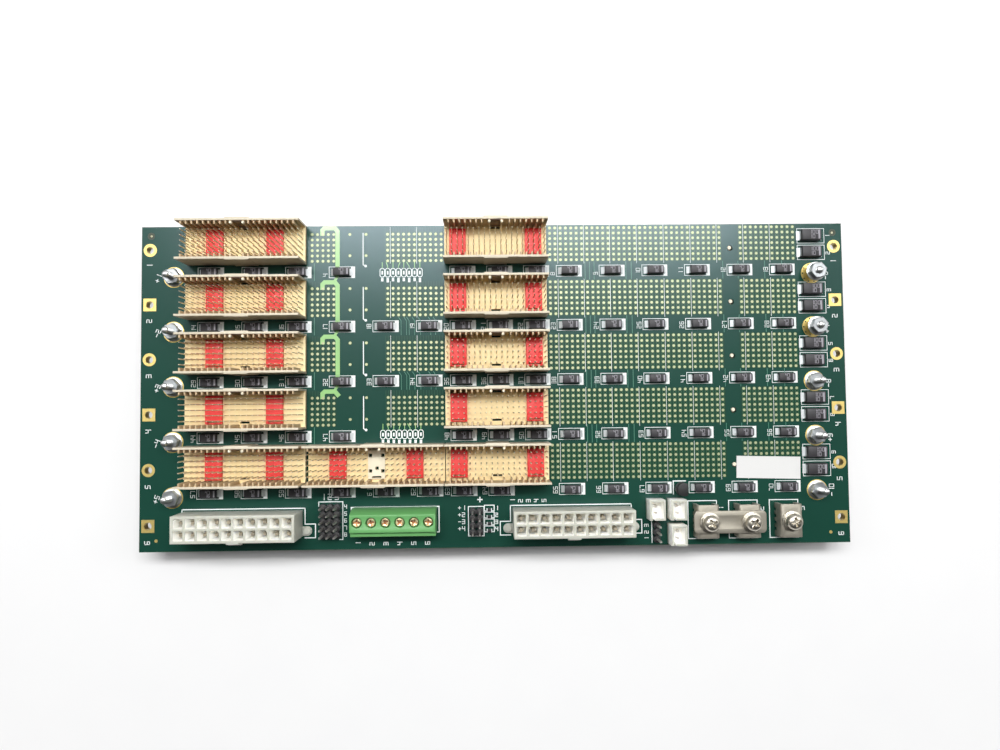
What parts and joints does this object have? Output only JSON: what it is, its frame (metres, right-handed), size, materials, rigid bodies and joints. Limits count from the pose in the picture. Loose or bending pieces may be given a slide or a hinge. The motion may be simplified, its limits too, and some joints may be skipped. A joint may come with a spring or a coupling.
{
  "type": "compact pci backplane",
  "caption": "Card-cage backplane: a green board with rows of slot connectors on both sides, power studs, supply headers, a terminal block and screw taps.",
  "frame": {"origin": "under the middle of the board, level with the front header rims that the board lies on", "axes": "+X along the contact rows to the right, +Y across the slots to the top edge, +Z out of the rear face"},
  "size_m": [0.262, 0.1201, 0.0287],
  "materials": {
    "board": "glossy dark green solder mask over glass laminate",
    "shroud": "satin beige glass-filled moulding",
    "lock_insert": "smooth red moulding",
    "capacitor": "dark moulded epoxy",
    "stud": "bright plated steel",
    "supply_housing": "natural nylon",
    "tinned_pin": "tinned or gold-plated square wire",
    "terminal_green": "satin bright green moulding",
    "terminal_screw": "brass-coloured plated steel",
    "terminal_clamp": "plated clamp",
    "header_base": "black moulding",
    "wafer_white": "natural nylon",
    "tap_metal": "dull nickel or tin plate",
    "tap_screw": "bright plated steel",
    "sensor_black": "moulded black epoxy",
    "resistor": "dark glaze on ceramic",
    "label_paper": "blank white paper"
  },
  "bodies": {
    "root": {"circuit_board": "board", "front_header_1_slot_1": "shroud", "front_header_1_slot_2": "shroud", "front_header_1_slot_3": "shroud", "front_header_1_slot_4": "shroud", "front_header_1_slot_5": "shroud", "front_header_2_slot_1": "shroud", "front_header_2_slot_2": "shroud", "front_header_2_slot_3": "shroud", "front_header_2_slot_4": "shroud", "front_header_2_slot_5": "shroud", "front_header_3_slot_1": "shroud", "front_header_3_slot_2": "shroud", "front_header_3_slot_3": "shroud", "front_header_3_slot_4": "shroud", "front_header_3_slot_5": "shroud", "front_header_4_slot_1": "shroud", "front_header_4_slot_2": "shroud", "front_header_4_slot_3": "shroud", "front_header_4_slot_4": "shroud", "front_header_4_slot_5": "shroud", "front_header_5_slot_1": "shroud", "front_header_5_slot_2": "shroud", "front_header_5_slot_3": "shroud", "front_header_5_slot_4": "shroud", "front_header_5_slot_5": "shroud", "rear_shroud_3_slot_1": "shroud", "rear_shroud_3_slot_2": "shroud", "rear_shroud_3_slot_3": "shroud", "rear_shroud_3_slot_4": "shroud", "rear_shroud_3_slot_5": "shroud", "rear_shroud_4_slot_5": "shroud", "rear_shroud_5_slot_1": "shroud", "rear_shroud_5_slot_2": "shroud", "rear_shroud_5_slot_3": "shroud", "rear_shroud_5_slot_4": "shroud", "rear_shroud_5_slot_5": "shroud", "shroud_lock_inserts": "lock_insert", "small_capacitors": "capacitor", "large_capacitors": "capacitor", "power_studs": "stud", "supply_header_left": "supply_housing", "supply_header_right": "supply_housing", "supply_header_pins": "tinned_pin", "header_pins": "tinned_pin", "terminal_block_body": "terminal_green", "terminal_block_screws": "terminal_screw", "terminal_block_clamps": "terminal_clamp", "pin_header_three_by_five": "header_base", "pin_header_two_by_four": "header_base", "pin_header_one_by_three": "header_base", "wafer_connectors": "wafer_white", "power_taps": "tap_metal", "link_bar": "tap_metal", "power_tap_screws": "tap_screw", "sensor": "sensor_black", "chip_resistors": "resistor", "paper_label": "label_paper"}
  },
  "joints": []
}
